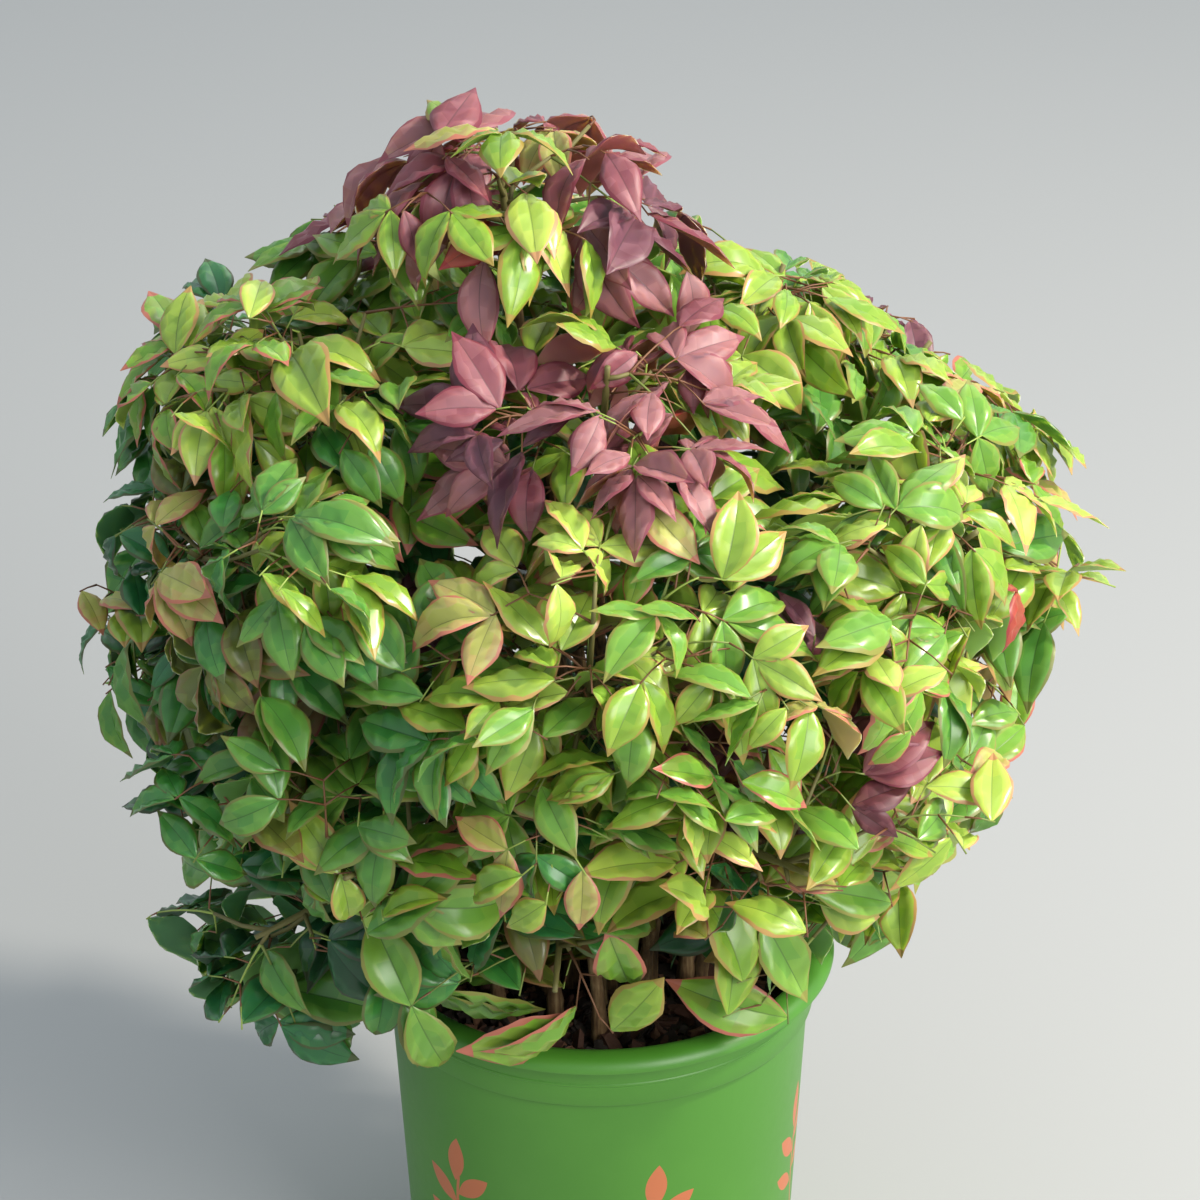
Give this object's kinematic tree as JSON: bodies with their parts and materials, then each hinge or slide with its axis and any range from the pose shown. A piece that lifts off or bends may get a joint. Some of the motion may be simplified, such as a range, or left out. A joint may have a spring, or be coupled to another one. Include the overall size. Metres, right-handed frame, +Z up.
{
  "type": "potted shrub",
  "caption": "Dwarf heavenly bamboo shrub with a dense round crown of lime, green and rose leaves, growing in a round green nursery pot.",
  "frame": {"origin": "middle of the pot's flat underside, which rests on the ground", "axes": "+Z up along the pot's axis, -Y towards the front of the plant, +X to the right seen from the front"},
  "size_m": [0.5688, 0.5766, 0.7794],
  "materials": {
    "pot": "satin",
    "soil": "coarse damp bark",
    "bark": "matt bark",
    "leaf_lime": "glossy leaf",
    "leaf_green": "glossy leaf",
    "leaf_deep": "glossy leaf",
    "leaf_rose": "satin leaf"
  },
  "bodies": {
    "root": {"cane_lower_1": "bark", "cane_lower_2": "bark", "cane_lower_3": "bark", "cane_lower_4": "bark", "cane_lower_5": "bark", "cane_lower_6": "bark", "cane_middle_1": "bark", "cane_middle_2": "bark", "cane_middle_3": "bark", "cane_middle_4": "bark", "cane_middle_5": "bark", "cane_middle_6": "bark", "cane_skirt_1": "bark", "cane_skirt_2": "bark", "cane_skirt_3": "bark", "cane_skirt_4": "bark", "cane_skirt_5": "bark", "cane_skirt_6": "bark", "cane_top_1": "bark", "cane_upper_1": "bark", "cane_upper_2": "bark", "cane_upper_3": "bark", "cane_upper_4": "bark", "foliage_lower_1": "leaf_lime", "foliage_lower_2": "leaf_lime", "foliage_lower_3": "leaf_lime", "foliage_lower_4": "leaf_deep", "foliage_lower_5": "leaf_deep", "foliage_lower_6": "leaf_green", "foliage_middle_1": "leaf_lime", "foliage_middle_2": "leaf_lime", "foliage_middle_3": "leaf_lime", "foliage_middle_4": "leaf_lime", "foliage_middle_5": "leaf_deep", "foliage_middle_6": "leaf_green", "foliage_skirt_1": "leaf_lime", "foliage_skirt_2": "leaf_lime", "foliage_skirt_3": "leaf_lime", "foliage_skirt_4": "leaf_deep", "foliage_skirt_5": "leaf_deep", "foliage_skirt_6": "leaf_lime", "foliage_top_1": "leaf_rose", "foliage_upper_1": "leaf_rose", "foliage_upper_2": "leaf_lime", "foliage_upper_3": "leaf_lime", "foliage_upper_4": "leaf_lime", "pot": "pot", "root_ball": "soil"}
  },
  "joints": []
}
